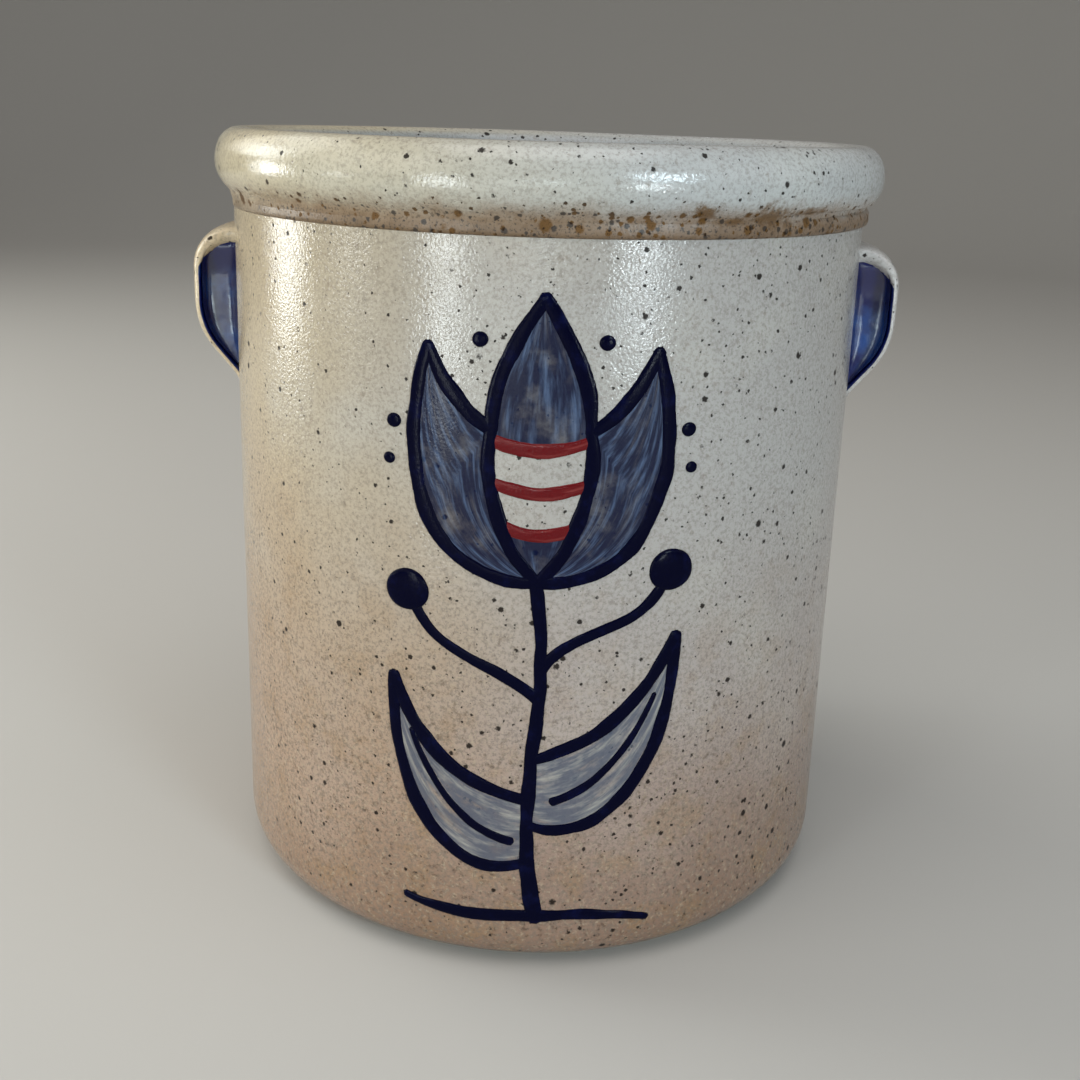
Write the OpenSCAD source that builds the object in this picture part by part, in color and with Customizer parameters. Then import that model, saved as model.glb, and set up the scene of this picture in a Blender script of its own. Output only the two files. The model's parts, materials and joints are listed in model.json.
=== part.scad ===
// Straight-sided stoneware crock with a rolled rim, a narrow band under it,
// two ear handles and a slip-trailed tulip on the front.
// Millimetres, +Z up, origin at the middle of the underside, front towards -Y.

/* [Body] */
// Outside diameter of the wall
wall_d = 152; // [110:1:220]
// Height from the table to the top of the rim
total_h = 181; // [150:1:260]
// Thickness of the wall
wall_t = 6.5; // [4:0.5:10]
// Thickness of the floor slab, which the wall stands on
floor_t = 11; // [7:0.5:16]
// Radius of the rounded edge at the foot
foot_r = 10; // [3:0.5:14]

/* [Rim] */
// Height of the rolled rim
rim_h = 13.5; // [10:0.5:20]
// How far the roll stands out from the wall
rim_out = 4; // [2:0.25:8]
// How far the roll stands in from the wall
rim_in = 1; // [0.5:0.25:3]
// Radius of the roll's two upper edges
rim_r = 5; // [2:0.25:5.5]
// Height of the band under the roll
band_h = 4.5; // [2:0.25:10]
// How far the band stands out from the wall
band_out = 1.2; // [0.5:0.1:2]

/* [Handles] */
// Width of an ear, measured straight across
handle_w = 36; // [20:1:50]
// How far an ear reaches out from the wall
handle_out = 10.3; // [10:0.1:18]
// Thickness of the ear round its two scoops
handle_t = 3; // [2:0.25:4]
// Depth of the scoops in the front and the back of an ear
scoop_d = 6; // [3:0.5:9]
// Gap between the band and the top of the ear
handle_drop = 5; // [1:0.5:20]
// Radius of the ear's shoulder
shoulder_r = 10; // [5:0.5:10]
// Height from the top of the ear to the start of its lower curve
handle_side = 18; // [10:0.5:30]
// Radius of the ear's lower curve
heel_r = 20; // [12:0.5:30]
// Angle that the lower curve turns before it runs in to the wall
heel_angle = 38; // [30:1:45]
// Radius where the ear's tail is smoothed down on the wall
tail_r = 9; // [4:0.5:14]

/* [Decoration] */
// Bare wall between the rounded foot edge and the drawing's foot
spray_foot = 1; // [0.5:0.5:20]
// Height from the bloom's tip to the band
spray_clear = 11.5; // [4:0.5:40]
// Width of a slip-trailed line
line_w = 2.9; // [1.5:0.1:4]
// How far the slip stands up from the wall
slip_h = 0.6; // [0.3:0.1:1.2]
// Radius of a round bud
bud_r = 4.6; // [3:0.1:6]

/* [Hidden] */
$fn = 96;

glaze = "#b8b1a5";
toasted = "#a2917c";
cobalt = "#2a2f63";
brick = "#96383f";

// Fired clay body, from the table upwards
wall_r = wall_d / 2;
bore_r = wall_r - wall_t;
foot_round = min(foot_r, floor_t);
rim_z = total_h - rim_h;
band_z = rim_z - band_h;
roll_in = bore_r - rim_in;
roll_out = wall_r + rim_out;
roll_round = min(rim_r, 0.45 * (roll_out - roll_in));
roll_under = min(rim_out, 0.95 * (rim_h - roll_round));

// Ear handles
handle_top = band_z - handle_drop;
ear_r = wall_r + handle_out;
ear_angle = 2 * asin(handle_w / 2 / ear_r);
web_angle = 2 * asin((handle_w / 2 - scoop_d) / ear_r);
shoulder_c = [ear_r - shoulder_r, handle_top - shoulder_r];
heel_c = [ear_r - heel_r, handle_top - handle_side];
heel_in = [-sin(heel_angle), -cos(heel_angle)];
heel_out = [cos(heel_angle), -sin(heel_angle)];
tail_c = [wall_r + tail_r, heel_c[1] - heel_r * sin(heel_angle)
          + (cos(heel_angle) * (wall_r + tail_r - heel_c[0] - heel_r * cos(heel_angle)) - tail_r)
          / sin(heel_angle)];
root_sink = 1;
arc_steps = 6;

// The drawing has its foot at 0 and its middle line at x = 0.
// Each stroke is four control points of a curve, then its weight at the start, middle and end.
curve_steps = 10;
cap_steps = 4;
stem = [[2, 3], [-5, 32], [5, 54], [0, 81]];
left_sprig = [[0.6, 56], [-8, 64], [-20, 64], [-25, 74]];
right_sprig = [[1.5, 62], [6, 72], [20, 70], [26, 80]];
stem_strokes = [[stem, [1.2, 1, 1]], [left_sprig, [0.9, 0.8, 0.8]], [right_sprig, [0.9, 0.8, 0.8]]];

left_leaf_low = [[-0.5, 17], [-16, 10], [-31, 28], [-30, 58]];
left_leaf_top = [[-30, 58], [-24, 40], [-12, 34], [0, 32]];
left_rib = [[-4, 22], [-14, 24], [-22, 34], [-26, 46]];
right_leaf_low = [[0.3, 26], [16, 20], [31, 40], [30, 69]];
right_leaf_top = [[30, 69], [23, 52], [12, 45], [1, 42]];
right_rib = [[5, 32], [15, 35], [22, 45], [26, 56]];
leaf_strokes = [for (edge = [left_leaf_low, left_leaf_top, right_leaf_low, right_leaf_top])
                    [edge, [0.8, 1.1, 0.8]],
                for (rib = [left_rib, right_rib]) [rib, [0.75, 0.6, 0.4]]];

petal_outer = [[0, 82], [-22, 81], [-31, 102], [-23, 130]];
petal_inner = [[-23, 130], [-19, 121], [-14, 116], [-10, 114]];
petal_seam = [[-10, 114], [-12, 102], [-8, 90], [0, 82]];
crown_edge = [[-10, 114], [-10, 125], [-5, 133], [0, 140.5]];
petal_weight = [0.9, 1.1, 0.9];
seam_strokes = [[petal_seam, petal_weight], [flipped(petal_seam), petal_weight]];
edge_strokes = [for (edge = [petal_outer, petal_inner, crown_edge])
                    each [[edge, petal_weight], [flipped(edge), petal_weight]]];
bloom_strokes = concat(seam_strokes, edge_strokes);

// The drawing stretches to put its tip under the band
spray_z = foot_round + spray_foot;
tip_z = band_z - spray_clear;
unit = (tip_z - spray_z) / crown_edge[3][1];

// Height of each curved band on the middle petal, and half its length
bands = [[93, 7.5], [102, 9.8], [111, 9.9]];
band_rise = 1;
band_sag = 1.5;
band_strokes = [for (b = bands) [[[-b[1], b[0] + band_rise], [-b[1] / 3, b[0] - band_sag],
                                  [b[1] / 3, b[0] - band_sag], [b[1], b[0] + band_rise]], [0.9, 1, 0.9]]];

ground_strokes = [[[[-27, 5], [-12, 0], [8, 7], [27, 1]], [0.6, 1, 0.6]]];

// Middle and radius of each round bud and dot
buds = [[[-27, 78], bud_r], [[28, 84], bud_r]];
side_dots = [[[12.5, 132], 1.6], [[30, 114], 1.5], [[31, 106], 1.2]];
dots = [for (dot = side_dots) each [dot, [[-dot[0][0], dot[0][1]], dot[1]]]];

// Points along a round corner, from angle a to angle b
function arc(c, r, a, b) =
    [for (i = [0:arc_steps]) let (t = a + (b - a) * i / arc_steps) c + r * [cos(t), sin(t)]];

// Outside of an ear and outline of its scoops, in radius and height
function ear_outside() = concat([[wall_r, handle_top]], arc(shoulder_c, shoulder_r, 90, 0),
    arc(heel_c, heel_r, 0, -heel_angle), arc(tail_c, tail_r, 180 - heel_angle, 180));
function scoop_outline() =
    let (heel_end = heel_c + (heel_r - handle_t) * heel_out,
         run = (heel_end[0] - wall_r + root_sink) / sin(heel_angle))
    concat([[wall_r - root_sink, handle_top - handle_t]],
           arc(shoulder_c, shoulder_r - handle_t, 90, 0),
           arc(heel_c, heel_r - handle_t, 0, -heel_angle), [heel_end + run * heel_in]);

// The drawing's own points, mirrored, and placed on the wall in millimetres
function flipped(curve) = [for (p = curve) [-p[0], p[1]]];
function placed(p) = [p[0] * unit, spray_z + p[1] * unit];

// A curve's point and heading at t, from 0 to 1
function point_at(c, t) = pow(1 - t, 3) * c[0] + 3 * pow(1 - t, 2) * t * c[1]
    + 3 * (1 - t) * t * t * c[2] + pow(t, 3) * c[3];
function heading_at(c, t) =
    let (d = pow(1 - t, 2) * (c[1] - c[0]) + 2 * (1 - t) * t * (c[2] - c[1])
             + t * t * (c[3] - c[2])) atan2(d[1], d[0]);

// One brush stroke's outline: up one side, round the tip, back down and round the start
function half_width(w, t) = line_w / 2 * lookup(t, [[0, w[0]], [0.5, w[1]], [1, w[2]]]);
function beside(c, w, t, turn) =
    let (a = heading_at(c, t) + turn) placed(point_at(c, t)) + half_width(w, t) * [cos(a), sin(a)];
function outline(stroke) = let (c = stroke[0], w = stroke[1]) concat(
    [for (i = [0:curve_steps]) beside(c, w, i / curve_steps, 90)],
    [for (j = [1:cap_steps - 1]) beside(c, w, 1, 90 - 180 * j / cap_steps)],
    [for (i = [0:curve_steps]) beside(c, w, 1 - i / curve_steps, -90)],
    [for (j = [1:cap_steps - 1]) beside(c, w, 0, -90 - 180 * j / cap_steps)]);

module draw(strokes) {
    for (stroke = strokes) polygon(outline(stroke));
}

module blobs(list) {
    for (blob = list) translate(placed(blob[0])) circle(blob[1]);
}

// What rounding an edge takes off a corner at the origin
module corner_waste(r) {
    difference() {
        square(r);
        translate([r, r]) circle(r);
    }
}

// Raises a flat drawing on the front of the wall
module slip() {
    intersection() {
        rotate([90, 0, 0]) linear_extrude(wall_r + 2 * slip_h) children();
        difference() {
            cylinder(r = wall_r + slip_h, h = total_h);
            translate([0, 0, -1]) cylinder(r = wall_r, h = total_h + 2);
        }
    }
}

// An ear is solid in the middle and scooped out from its front and its back
module ear_handle() {
    difference() {
        rotate([0, 0, -ear_angle / 2]) rotate_extrude(angle = ear_angle) polygon(ear_outside());
        for (start = [-ear_angle, web_angle / 2])
            rotate([0, 0, start]) rotate_extrude(angle = ear_angle - web_angle / 2) polygon(scoop_outline());
    }
}

module floor_slab() {
    color(toasted) rotate_extrude()
        difference() {
            square([wall_r, floor_t]);
            translate([wall_r, 0]) mirror([1, 0]) corner_waste(foot_round);
        }
}

module wall() {
    color(glaze) rotate_extrude()
        translate([bore_r, floor_t]) square([wall_t, rim_z - floor_t]);
}

module under_band() {
    color(toasted) rotate_extrude()
        polygon([[wall_r, band_z], [wall_r + band_out, band_z + band_out],
                 [wall_r + band_out, rim_z], [wall_r, rim_z]]);
}

module rim_roll() {
    color(glaze) rotate_extrude()
        difference() {
            translate([roll_in, rim_z]) square([roll_out - roll_in, rim_h]);
            translate([roll_out, total_h]) rotate(180) corner_waste(roll_round);
            translate([roll_in, total_h]) mirror([0, 1]) corner_waste(roll_round);
            translate([roll_out, rim_z]) mirror([1, 0]) corner_waste(roll_under);
            translate([roll_in, rim_z]) corner_waste(rim_in);
        }
}

module left_handle() {
    color(cobalt) rotate(180) ear_handle();
}

module right_handle() {
    color(cobalt) ear_handle();
}

module slip_stem() {
    color(cobalt) slip() draw(stem_strokes);
}

module slip_leaves() {
    color(cobalt) slip() difference() {
        draw(leaf_strokes);
        draw(stem_strokes);
    }
}

module slip_bloom() {
    color(cobalt) slip() difference() {
        draw(bloom_strokes);
        draw(stem_strokes);
    }
}

module slip_bands() {
    color(brick) slip() difference() {
        draw(band_strokes);
        draw(seam_strokes);
    }
}

module slip_buds() {
    color(cobalt) slip() difference() {
        blobs(buds);
        draw(stem_strokes);
    }
}

module slip_dots() {
    color(cobalt) slip() blobs(dots);
}

module slip_ground() {
    color(cobalt) slip() difference() {
        draw(ground_strokes);
        draw(stem_strokes);
    }
}

floor_slab();
wall();
under_band();
rim_roll();
left_handle();
right_handle();
slip_stem();
slip_leaves();
slip_bloom();
slip_bands();
slip_buds();
slip_dots();
slip_ground();
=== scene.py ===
import json
import math
import bpy
import bmesh
from mathutils import Matrix, Vector, noise

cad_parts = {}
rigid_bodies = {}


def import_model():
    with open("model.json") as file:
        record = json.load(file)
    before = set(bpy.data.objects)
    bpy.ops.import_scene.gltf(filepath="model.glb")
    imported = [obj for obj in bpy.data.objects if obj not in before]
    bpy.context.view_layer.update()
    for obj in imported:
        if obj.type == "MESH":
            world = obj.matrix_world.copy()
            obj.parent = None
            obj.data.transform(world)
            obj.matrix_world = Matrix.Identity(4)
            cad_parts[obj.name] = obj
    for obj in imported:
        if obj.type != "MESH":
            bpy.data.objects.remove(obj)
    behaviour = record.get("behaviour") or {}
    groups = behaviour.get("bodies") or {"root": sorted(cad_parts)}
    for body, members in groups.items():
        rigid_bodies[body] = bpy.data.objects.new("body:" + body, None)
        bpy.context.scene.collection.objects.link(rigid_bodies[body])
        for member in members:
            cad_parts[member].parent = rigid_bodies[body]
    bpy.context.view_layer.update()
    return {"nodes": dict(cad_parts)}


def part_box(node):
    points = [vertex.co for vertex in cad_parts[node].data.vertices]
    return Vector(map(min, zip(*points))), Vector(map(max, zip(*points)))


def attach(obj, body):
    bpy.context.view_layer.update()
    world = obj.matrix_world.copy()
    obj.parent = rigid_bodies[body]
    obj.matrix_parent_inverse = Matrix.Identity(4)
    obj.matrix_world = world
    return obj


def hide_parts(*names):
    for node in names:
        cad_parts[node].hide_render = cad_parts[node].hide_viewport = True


for old in list(bpy.data.objects):
    bpy.data.objects.remove(old)
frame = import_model()
mm = 0.001
weld = 0.01 * mm            # points closer than this are merged
front = -math.pi / 2        # angle of the decorated side, measured from +X
print("frame loaded,", len(frame["nodes"]), "solids")


# Camera
photoView = {
    "place": (0.0, -0.3215, 0.1859),
    "pitch": -0.273,
    "roll": 0.032,
    "framePixels": 1080,
    "focalPixels": 1274.5,
    "axisRow": 470,         # pixel row that the lens axis meets
    "sensor": 36.0,
}


def makeCamera(spec):
    data = bpy.data.cameras.new("photoCamera")
    data.sensor_width = spec["sensor"]
    data.lens = spec["sensor"] * spec["focalPixels"] / spec["framePixels"]
    data.shift_y = spec["axisRow"] / spec["framePixels"] - 0.5
    data.clip_start = 0.01
    camera = bpy.data.objects.new("photoCamera", data)
    tilt = Matrix.Rotation(math.pi / 2 + spec["pitch"], 4, "X")
    roll = Matrix.Rotation(spec["roll"], 4, "Z")
    camera.matrix_world = Matrix.Translation(spec["place"]) @ tilt @ roll
    bpy.context.collection.objects.link(camera)
    bpy.context.scene.camera = camera


makeCamera(photoView)
print("camera set")


# Mesh helpers
def arc(centre, radius, start, end, steps):
    turns = [math.radians(start + (end - start) * i / steps) for i in range(steps + 1)]
    return [(centre[0] + radius * math.cos(t), centre[1] + radius * math.sin(t)) for t in turns]


def run(start, end, steps):
    return [(start[0] + (end[0] - start[0]) * i / steps, start[1] + (end[1] - start[1]) * i / steps)
            for i in range(steps + 1)]


def bend(points, t):
    points = [Vector(p) for p in points]
    while len(points) > 1:
        points = [a.lerp(b, t) for a, b in zip(points, points[1:])]
    return points[0]


def lengthOf(place, steps=20):
    points = [place(i / steps) for i in range(steps + 1)]
    return sum((b - a).length for a, b in zip(points, points[1:]))


def smoothStep(low, high, value):
    t = min(max((value - low) / (high - low), 0.0), 1.0)
    return t * t * (3 - 2 * t)


def finishPiece(bm, name, material, node, sharpDegrees=50):
    mesh = bpy.data.meshes.new(name)
    for face in bm.faces:
        face.smooth = True
    bm.to_mesh(mesh)
    bm.free()
    mesh.set_sharp_from_angle(angle=math.radians(sharpDegrees))
    mesh.materials.append(material)
    piece = bpy.data.objects.new(name, mesh)
    bpy.context.collection.objects.link(piece)
    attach(piece, "root")
    if node:
        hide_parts(node)
    return piece


def lathe(outline, steps):
    bm = bmesh.new()
    verts = [bm.verts.new((r, 0, z)) for r, z in outline]
    edges = [bm.edges.new(pair) for pair in zip(verts, verts[1:] + verts[:1])]
    bmesh.ops.spin(bm, geom=verts + edges, cent=(0, 0, 0), axis=(0, 0, 1),
                   angle=2 * math.pi, steps=steps, use_merge=True)
    bmesh.ops.remove_doubles(bm, verts=bm.verts, dist=weld)
    bare = [edge for edge in bm.edges if not edge.link_faces]   # the axis, in a solid turned piece
    bmesh.ops.delete(bm, geom=bare, context="EDGES")
    bmesh.ops.recalc_face_normals(bm, faces=bm.faces)
    return bm


def addShell(bm, columns, rows, place, uvSize=(1.0, 1.0)):
    uvLayer = bm.loops.layers.uv.verify()
    verts = bmesh.ops.create_grid(bm, x_segments=columns, y_segments=rows, size=0.5)["verts"]
    faces = {face for vert in verts for face in vert.link_faces}
    for face in faces:
        for loop in face.loops:
            x, y, _ = loop.vert.co
            loop[uvLayer].uv = ((x + 0.5) * uvSize[0], (y + 0.5) * uvSize[1])
    for vert in verts:
        vert.co = place(vert.co.x + 0.5, vert.co.y + 0.5)
    bmesh.ops.remove_doubles(bm, verts=verts, dist=weld / 5)
    rims = [edge for edge in bm.edges if edge.is_boundary]
    if rims:
        bmesh.ops.holes_fill(bm, edges=rims, sides=0)
    bmesh.ops.recalc_face_normals(bm, faces=bm.faces)


# Node helpers
def addNode(tree, kind, inputs=None, **settings):
    made = tree.nodes.new(kind)
    for key, value in settings.items():
        setattr(made, key, value)
    for key, value in (inputs or {}).items():
        if isinstance(value, bpy.types.NodeSocket):
            tree.links.new(value, made.inputs[key])
        else:
            made.inputs[key].default_value = value
    return made


def calc(tree, operation, a, b=0.0):
    return addNode(tree, "ShaderNodeMath", {0: a, 1: b}, operation=operation).outputs[0]


def scaleAdd(tree, value, factor, plus=0.0):
    return addNode(tree, "ShaderNodeMath", {0: value, 1: factor, 2: plus},
                   operation="MULTIPLY_ADD").outputs[0]


def fade(tree, value, low, high):
    return addNode(tree, "ShaderNodeMapRange", {"Value": value, "From Min": low, "From Max": high},
                   interpolation_type="SMOOTHSTEP").outputs[0]


def tint(tree, factor, low, high, blend="MIX"):
    return addNode(tree, "ShaderNodeMix", {0: factor, 6: low, 7: high},
                   data_type="RGBA", blend_type=blend).outputs[2]


def grain(tree, coords, scale, detail=2.0, roughness=0.5):
    return addNode(tree, "ShaderNodeTexNoise", {"Vector": coords, "Scale": scale, "Detail": detail,
                                                "Roughness": roughness}).outputs["Fac"]


def near(tree, coords, centre, size):
    shifted = addNode(tree, "ShaderNodeMapping", {"Vector": coords, "Location": centre, "Scale": size},
                      vector_type="TEXTURE").outputs[0]
    return addNode(tree, "ShaderNodeVectorMath", {0: shifted}, operation="LENGTH").outputs["Value"]


def ripples(tree, height, strength, depth):
    return addNode(tree, "ShaderNodeBump", {"Height": height, "Strength": strength,
                                            "Distance": depth}).outputs[0]


def startMaterial(name):
    material = bpy.data.materials.new(name)
    material.use_nodes = True
    tree = material.node_tree
    return material, tree, tree.nodes["Principled BSDF"]


def rgb(red, green, blue):
    channels = [c / 255 for c in (red, green, blue)]
    linear = [c / 12.92 if c < 0.04045 else ((c + 0.055) / 1.055) ** 2.4 for c in channels]
    return (*linear, 1.0)


# Salt glaze, shared by every clay piece
glaze = {
    "warm": rgb(181, 166, 139),
    "cool": rgb(168, 165, 162),
    "pale": rgb(196, 192, 180),
    "flush": rgb(156, 115, 93),
    "toast": rgb(125, 93, 71),
    "ochre": rgb(146, 114, 76),
    "inside": rgb(146, 147, 147),
    "grit": rgb(110, 101, 91),
    "soot": rgb(74, 58, 46),
    "freckle": rgb(112, 96, 80),
    "speck": rgb(26, 19, 16),
    "bare": rgb(176, 156, 130),
    "cover": {              # how much each colour hides what is under it
        "pale": 0.25, "flush": 0.58, "toast": 0.9, "ochre": 0.4, "inside": 0.85, "warm": 0.62,
        "soot": 0.74, "freckle": 0.4, "speck": 0.95, "bare": 0.9,
    },
    "gritCover": (0.42, 0.26),  # everywhere, and more where it is browned
    "mottle": {             # noise per metre, its roughness, and where in it a colour begins and is full
        "pale": (30.0, 0.5, 0.48, 0.72),
        "ochre": (95.0, 0.6, 0.48, 0.66),
        "grit": (1300.0, 0.7, 0.42, 0.68),
        "warm": (900.0, 0.7, 0.5, 0.8),
        "soot": (760.0, 0.7, 0.52, 0.74),
        "freckle": (480.0, 0.7, 0.57, 0.74),
    },
    "patch": 15.0,          # broad colour patches, per metre
    "warmLitSide": (-20 * mm, 65 * mm),  # from left to right, where the warm tone, partly kiln colour and partly painted warm light from the left, begins to turn grey and is grey
    "coolPatch": 90 * mm,   # how far the patches move that edge
    "peel": 1700.0,         # orange peel, per metre
    "peelDepth": 0.22 * mm,
    "swell": (140.0, 1.2),  # broader unevenness, per metre, and its height against the peel's
    "flushTop": 0.15,       # height where the faint browning begins
    "flushFull": 0.045,     # and where it is full
    "flushPatch": 0.05,     # how far the patches move its edge
    "slant": 0.18,          # how much higher it begins on the left
    "toastTop": 0.083,      # height where the toasting begins
    "toastFull": 0.012,
    "toastEdge": (28.0, 50 * mm),    # how finely and how far its edge wanders
    "toastSlant": 0.2,      # how much higher it begins on the right
    "mouth": (71 * mm, 69.2 * mm),   # radius where the darker grey of the inside begins and is full
    "bareTop": (1.4 * mm, 0.4 * mm),  # height where the bare clay of the foot begins and is full
    "speckLayers": [(165.0, 0.82), (300.0, 0.62), (560.0, 0.34)],  # cells per metre, radius in mm
    "speckLeast": 0.22,     # size of the smallest speck against the largest
    "speckCore": 0.7,       # share of its radius that is fully dark
    "crowd": (0.6, 1.7),    # least size of the specks in the middle, and its growth to the right, per metre
    "crowdPatch": (22.0, 1.2),       # how finely and how much that varies
    "shake": (2200.0, 0.6 * mm),     # how finely and how far a speck's edge wanders
    "speckDip": 0.2,        # how deep a speck lies, against the peel
    "speckRough": 0.2,      # how much rougher it is
    "speckMatt": 0.8,       # share of the gloss that a speck takes away
    "shine": 90.0,          # patches of more and less shine, per metre
    "dryRough": 0.4,        # how much rougher dry clay is
    "softGloss": 0.05,      # specular level of dark slip
    "index": 1.52,          # of refraction
}


def specks(tree, coords, scale, radius, amount):
    fine, far = glaze["shake"]
    shake = addNode(tree, "ShaderNodeTexNoise", {"Vector": coords, "Scale": fine, "Detail": 1.0})
    bent = addNode(tree, "ShaderNodeVectorMath", {0: shake.outputs["Color"], 1: (far,) * 3, 2: coords},
                   operation="MULTIPLY_ADD").outputs[0]
    cells = addNode(tree, "ShaderNodeTexVoronoi", {"Vector": bent, "Scale": scale}, feature="F1")
    chance = addNode(tree, "ShaderNodeSeparateColor", {0: cells.outputs["Color"]}).outputs[0]
    least = glaze["speckLeast"]
    spread = scaleAdd(tree, calc(tree, "POWER", chance, 1.6), 1 - least, least)
    size = calc(tree, "MULTIPLY", calc(tree, "MULTIPLY", spread, amount), radius * mm * scale)
    inner = calc(tree, "MULTIPLY", size, glaze["speckCore"])
    return addNode(tree, "ShaderNodeMapRange", {"Value": cells.outputs["Distance"], "From Min": size,
                                                "From Max": inner}).outputs[0]


def coat(tree, colour, mask, name):
    return tint(tree, calc(tree, "MULTIPLY", mask, glaze["cover"][name]), colour, glaze[name])


def mottle(tree, coords, name):
    scale, roughness, begins, full = glaze["mottle"][name]
    return fade(tree, grain(tree, coords, scale, 3.0, roughness), begins, full)


def glazeLook(tree, crowding=None):
    coords = addNode(tree, "ShaderNodeTexCoord").outputs["Object"]
    place = addNode(tree, "ShaderNodeSeparateXYZ", {0: coords})
    x, z = place.outputs["X"], place.outputs["Z"]
    flat = addNode(tree, "ShaderNodeCombineXYZ", {0: x, 1: place.outputs["Y"]}).outputs[0]
    radius = addNode(tree, "ShaderNodeVectorMath", {0: flat}, operation="LENGTH").outputs["Value"]
    patches = grain(tree, coords, glaze["patch"], 3.0, 0.55)
    # warm on the left, partly kiln colour and partly painted warm light; grey on the right
    side = fade(tree, scaleAdd(tree, patches, glaze["coolPatch"], x), *glaze["warmLitSide"])
    colour = tint(tree, side, glaze["warm"], glaze["cool"])
    colour = coat(tree, colour, mottle(tree, coords, "pale"), "pale")
    slanted = scaleAdd(tree, x, glaze["slant"], z)
    slanted = scaleAdd(tree, patches, glaze["flushPatch"], slanted)
    flush = fade(tree, slanted, glaze["flushTop"], glaze["flushFull"])
    colour = coat(tree, colour, flush, "flush")
    fine, far = glaze["toastEdge"]
    ragged = scaleAdd(tree, grain(tree, coords, fine, 4.0, 0.6), far, z)
    ragged = scaleAdd(tree, x, -glaze["toastSlant"], ragged)
    colour = coat(tree, colour, fade(tree, ragged, glaze["toastTop"], glaze["toastFull"]), "toast")
    colour = coat(tree, colour, calc(tree, "MULTIPLY", mottle(tree, coords, "ochre"), flush), "ochre")
    inside = fade(tree, radius, *glaze["mouth"])
    colour = coat(tree, colour, inside, "inside")
    sand = calc(tree, "MULTIPLY", flush, calc(tree, "SUBTRACT", 1.0, inside))   # browned, outside
    everywhere, browned = glaze["gritCover"]
    cover = scaleAdd(tree, sand, browned, everywhere)
    grit = calc(tree, "MULTIPLY", mottle(tree, coords, "grit"), cover)
    colour = tint(tree, grit, colour, glaze["grit"])
    for name in ("warm", "soot"):
        colour = coat(tree, colour, calc(tree, "MULTIPLY", mottle(tree, coords, name), sand), name)
    colour = coat(tree, colour, mottle(tree, coords, "freckle"), "freckle")
    middle, growth = glaze["crowd"]
    fine, far = glaze["crowdPatch"]
    crowd = scaleAdd(tree, grain(tree, coords, fine, 2.0), far, scaleAdd(tree, x, growth, middle))
    if crowding:
        crowd = calc(tree, "ADD", crowd, crowding(z))
    dots = None
    for scale, size in glaze["speckLayers"]:
        layer = specks(tree, coords, scale, size, crowd)
        dots = layer if dots is None else calc(tree, "MAXIMUM", dots, layer)
    colour = coat(tree, colour, dots, "speck")
    bare = fade(tree, z, *glaze["bareTop"])
    colour = coat(tree, colour, bare, "bare")
    peel = grain(tree, coords, glaze["peel"], 1.5, 0.5)
    fine, far = glaze["swell"]
    height = scaleAdd(tree, grain(tree, coords, fine), far, peel)
    height = scaleAdd(tree, dots, -glaze["speckDip"], height)
    return {"coords": coords, "x": x, "z": z, "colour": colour, "dots": dots, "height": height,
            "dry": bare}


def glazeSurface(tree, shader, look, colour, low=0.1, high=0.2, bump=0.42, gloss=0.5):
    shine = fade(tree, grain(tree, look["coords"], glaze["shine"], 3.0), 0.3, 0.7)
    rough = scaleAdd(tree, look["dots"], glaze["speckRough"], scaleAdd(tree, shine, high - low, low))
    rough = scaleAdd(tree, look["dry"], glaze["dryRough"], rough)
    specular = scaleAdd(tree, look["dots"], -glaze["speckMatt"] * gloss, gloss)
    normal = ripples(tree, look["height"], bump, glaze["peelDepth"])
    tree.links.new(colour, shader.inputs["Base Color"])
    tree.links.new(rough, shader.inputs["Roughness"])
    tree.links.new(normal, shader.inputs["Normal"])
    tree.links.new(specular, shader.inputs["Specular IOR Level"])
    shader.inputs["IOR"].default_value = glaze["index"]


def makeGlaze():
    material, tree, shader = startMaterial("saltGlaze")
    look = glazeLook(tree)
    glazeSurface(tree, shader, look, look["colour"])
    return material


def makeSlip(name, thick, thin, shine):
    material, tree, shader = startMaterial(name)
    coords = addNode(tree, "ShaderNodeTexCoord").outputs["Object"]
    pool = fade(tree, grain(tree, coords, 240.0, 4.0, 0.65), 0.5, 0.82)
    colour = tint(tree, calc(tree, "MULTIPLY", pool, 0.6), thick, thin)
    tree.links.new(colour, shader.inputs["Base Color"])
    rough = addNode(tree, "ShaderNodeMapRange", {"Value": grain(tree, coords, 160.0), "To Min": shine,
                                                 "To Max": shine + 0.12}).outputs[0]
    tree.links.new(rough, shader.inputs["Roughness"])
    peel = grain(tree, coords, glaze["peel"], 2.0, 0.6)
    tree.links.new(ripples(tree, peel, 0.2, 0.2 * mm), shader.inputs["Normal"])
    shader.inputs["Specular IOR Level"].default_value = glaze["softGloss"]
    return material


saltGlaze = makeGlaze()
print("glaze mixed")


# Wall and floor
crock = {
    "radius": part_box("wall")[1].x,
    "bore": 69.5 * mm,
    "floorTop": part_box("floor_slab")[1].z,
    "wallTop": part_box("wall")[1].z,
    "foot": 10 * mm,        # radius of the rounded edge at the foot
    "cove": 7 * mm,         # radius between the floor and the inside of the wall
    "wave": 0.3 * mm,       # how far the throwing wanders inwards
    "waveHeight": 60 * mm,
    "waveTurn": 1.4,        # higher has more waves round the pot
    "steps": 240,           # round the pot
}


def wander(angle, height):
    turn = crock["waveTurn"]
    at = Vector((turn * math.cos(angle), turn * math.sin(angle), height / crock["waveHeight"]))
    return -crock["wave"] * (0.5 + 0.5 * noise.noise(at))


def throwShape(bm):
    for vert in bm.verts:
        r = math.hypot(vert.co.x, vert.co.y)
        if r < crock["bore"] / 2:
            continue
        change = 1 + wander(math.atan2(vert.co.y, vert.co.x), vert.co.z) / r
        vert.co.x *= change
        vert.co.y *= change


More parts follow.
